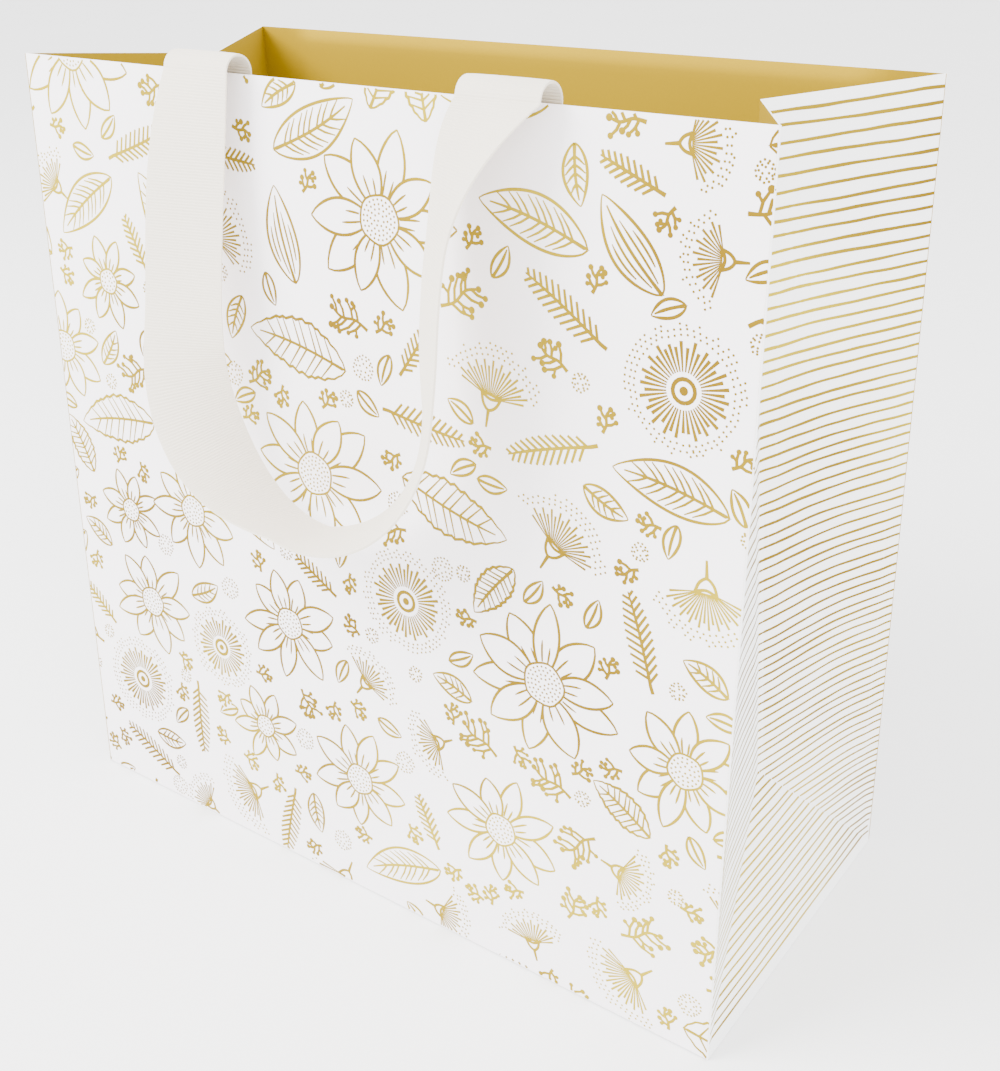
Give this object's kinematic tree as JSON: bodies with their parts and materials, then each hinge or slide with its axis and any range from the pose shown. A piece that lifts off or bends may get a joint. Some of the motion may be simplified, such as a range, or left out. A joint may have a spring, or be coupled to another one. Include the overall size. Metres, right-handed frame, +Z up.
{
  "type": "gift bag",
  "caption": "Square-bottom paper gift bag with folding gussets, a turned-in rim, a loose bottom board and two ribbon loop handles.",
  "frame": {"origin": "centre of the underside of the base", "axes": "+Z up, +X to the right of the front panel, the front panel faces -Y"},
  "size_m": [0.26, 0.1766, 0.2677],
  "materials": {
    "printed_paper": "matte lavender-white art paper with gold foil line drawing",
    "gold_paper": "satin metallic gold print on the inside",
    "grey_card": "uncoated recycled grey card",
    "ribbon": "cream grosgrain ribbon with fine cross ribs"
  },
  "bodies": {
    "base": {"bottom_back_flap": "printed_paper", "bottom_front_flap": "printed_paper", "bottom_side_flap_right": "printed_paper", "bottom_side_flap_left": "printed_paper", "bottom_board": "grey_card"},
    "front_wall": {"front_panel": "printed_paper", "front_hem": "gold_paper", "front_card": "grey_card", "front_tail_right": "ribbon", "front_tail_left": "ribbon"},
    "back_wall": {"back_panel": "printed_paper", "back_hem": "gold_paper", "back_card": "grey_card", "back_tail_right": "ribbon", "back_tail_left": "ribbon", "side_seam_flap": "gold_paper"},
    "right_gusset": {"right_foot_triangle": "printed_paper", "right_front_lower": "printed_paper", "right_back_lower": "printed_paper"},
    "left_gusset": {"left_foot_triangle": "printed_paper", "left_front_lower": "printed_paper", "left_back_lower": "printed_paper"},
    "right_front_fold": {"right_front_upper": "printed_paper", "right_front_hem": "gold_paper"},
    "right_back_fold": {"right_back_upper": "printed_paper", "right_back_hem": "gold_paper"},
    "left_front_fold": {"left_front_upper": "printed_paper", "left_front_hem": "gold_paper"},
    "left_back_fold": {"left_back_upper": "printed_paper", "left_back_hem": "gold_paper"},
    "front_handle": {"front_ribbon_loop": "ribbon"},
    "back_handle": {"back_ribbon_loop": "ribbon"}
  },
  "joints": [
    {"name": "mouth_pinch", "type": "hinge", "parent": "base", "child": "front_wall", "pos_m": [0, -0.06, 0], "axis": [-1, 0, 0], "range_deg": [0, 9.25]},
    {"name": "back_wall_pinch", "type": "hinge", "parent": "base", "child": "back_wall", "pos_m": [0, 0.06, 0], "axis": [1, 0, 0], "range_deg": [0, 9.25]},
    {"name": "right_gusset_fold", "type": "hinge", "parent": "base", "child": "right_gusset", "pos_m": [0.13, 0, 0], "axis": [0, -1, 0], "range_deg": [0, 6.42]},
    {"name": "left_gusset_fold", "type": "hinge", "parent": "base", "child": "left_gusset", "pos_m": [-0.13, 0, 0], "axis": [0, 1, 0], "range_deg": [0, 6.42]},
    {"name": "right_front_crease", "type": "hinge", "parent": "front_wall", "child": "right_front_fold", "pos_m": [0.13, -0.05929, 0.00018], "axis": [0, 0.0305, 0.9995], "range_deg": [0, 50.34], "deforming": ["right_front_upper", "right_front_hem"]},
    {"name": "right_back_crease", "type": "hinge", "parent": "back_wall", "child": "right_back_fold", "pos_m": [0.13, 0.05929, 0.00018], "axis": [0, 0.0305, -0.9995], "range_deg": [0, 50.34], "deforming": ["right_back_upper", "right_back_hem"]},
    {"name": "left_front_crease", "type": "hinge", "parent": "front_wall", "child": "left_front_fold", "pos_m": [-0.13, -0.05929, 0.00018], "axis": [0, -0.0305, -0.9995], "range_deg": [0, 50.34], "deforming": ["left_front_upper", "left_front_hem"]},
    {"name": "left_back_crease", "type": "hinge", "parent": "back_wall", "child": "left_back_fold", "pos_m": [-0.13, 0.05929, 0.00018], "axis": [0, -0.0305, 0.9995], "range_deg": [0, 50.34], "deforming": ["left_back_upper", "left_back_hem"]},
    {"name": "front_handle_swing", "type": "hinge", "parent": "front_wall", "child": "front_handle", "pos_m": [0, -0.05384, 0.26694], "axis": [-1, 0, 0], "range_deg": [0, 156], "deforming": ["front_tail_right", "front_tail_left"]},
    {"name": "back_handle_swing", "type": "hinge", "parent": "back_wall", "child": "back_handle", "pos_m": [0, 0.0526, 0.25209], "axis": [1, 0, 0], "range_deg": [0, 156], "deforming": ["back_tail_right", "back_tail_left"]}
  ],
  "couplings": [
    {"joint": "back_wall_pinch", "follows": "mouth_pinch", "ratio": 1},
    {"joint": "right_gusset_fold", "follows": "mouth_pinch", "ratio": 0.69353},
    {"joint": "left_gusset_fold", "follows": "mouth_pinch", "ratio": 0.69353},
    {"joint": "right_front_crease", "follows": "mouth_pinch", "ratio": 5.4414},
    {"joint": "right_back_crease", "follows": "mouth_pinch", "ratio": 5.4414},
    {"joint": "left_front_crease", "follows": "mouth_pinch", "ratio": 5.4414},
    {"joint": "left_back_crease", "follows": "mouth_pinch", "ratio": 5.4414}
  ]
}
